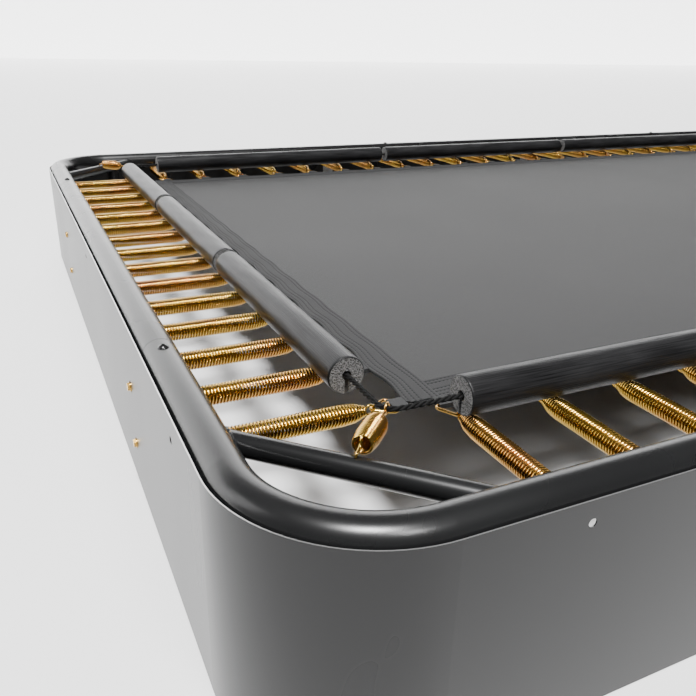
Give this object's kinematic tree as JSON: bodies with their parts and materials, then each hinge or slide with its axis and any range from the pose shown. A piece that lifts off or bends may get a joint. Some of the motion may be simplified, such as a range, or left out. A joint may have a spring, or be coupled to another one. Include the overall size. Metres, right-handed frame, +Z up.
{
  "type": "trampoline",
  "caption": "Low rectangular trampoline with grey sheet walls, a dark tube rail, gold coil springs hooked round a stretched black mesh bed, and foam tubes lying over the springs",
  "frame": {"origin": "on the floor under the middle of the jumping bed", "axes": "+X along the long sides, +Y across to the far long side, +Z up"},
  "size_m": [4.017, 2.267, 0.3144],
  "materials": {
    "rail_coat": "satin charcoal powder coat",
    "sheet_grey": "satin light grey coated sheet",
    "bare_steel": "plain galvanised steel",
    "black_screws": "glossy black coated screws",
    "yellow_zinc": "yellow passivated zinc",
    "spring_gold": "yellow passivated zinc with a coppery tint",
    "bed_mesh": "close woven black polypropylene mesh",
    "webbing": "stitched black webbing",
    "foam_skin": "closed cell foam in a black film",
    "cord_black": "twisted black cord"
  },
  "bodies": {
    "frame": {"corner_rail_front_left": "rail_coat", "corner_rail_back_left": "rail_coat", "corner_rail_front_right": "rail_coat", "corner_rail_back_right": "rail_coat", "end_rail_left": "rail_coat", "end_rail_right": "rail_coat", "side_rail_front": "rail_coat", "side_rail_back": "rail_coat", "corner_brace_front_left": "rail_coat", "corner_brace_back_left": "rail_coat", "corner_brace_front_right": "rail_coat", "corner_brace_back_right": "rail_coat", "wall_corner_front_left": "sheet_grey", "wall_corner_back_left": "sheet_grey", "wall_corner_front_right": "sheet_grey", "wall_corner_back_right": "sheet_grey", "wall_end_left": "sheet_grey", "wall_end_right": "sheet_grey", "wall_side_front_left": "sheet_grey", "wall_side_back_left": "sheet_grey", "wall_side_front_right": "sheet_grey", "wall_side_back_right": "sheet_grey", "corner_posts": "rail_coat", "end_posts": "rail_coat", "side_posts": "rail_coat", "post_feet": "rail_coat", "rail_sleeves": "bare_steel", "joint_strips": "bare_steel", "wall_clips": "rail_coat", "rail_screws": "black_screws", "panel_bolts": "yellow_zinc", "panel_nuts": "yellow_zinc", "end_springs_left": "spring_gold", "end_springs_right": "spring_gold", "side_springs_front": "spring_gold", "side_springs_back": "spring_gold", "corner_springs": "spring_gold", "end_foam_left": "foam_skin", "end_foam_right": "foam_skin", "side_foam_front": "foam_skin", "side_foam_back": "foam_skin", "foam_cord": "cord_black"},
    "bed": {"bed": "bed_mesh", "end_border_left": "webbing", "end_border_right": "webbing", "side_border_front": "webbing", "side_border_back": "webbing", "end_tabs_left": "webbing", "end_tabs_right": "webbing", "side_tabs_front": "webbing", "side_tabs_back": "webbing", "end_rings_left": "spring_gold", "end_rings_right": "spring_gold", "side_rings_front": "spring_gold", "side_rings_back": "spring_gold"}
  },
  "joints": [
    {"name": "bed_bounce", "type": "slide", "parent": "frame", "child": "bed", "axis": [0, 0, 1], "range_m": [-0.12, 0], "stiffness_N_per_m": 6000, "springref_m": 0.02, "deforming": ["end_springs_left", "end_springs_right", "side_springs_front", "side_springs_back"]}
  ]
}
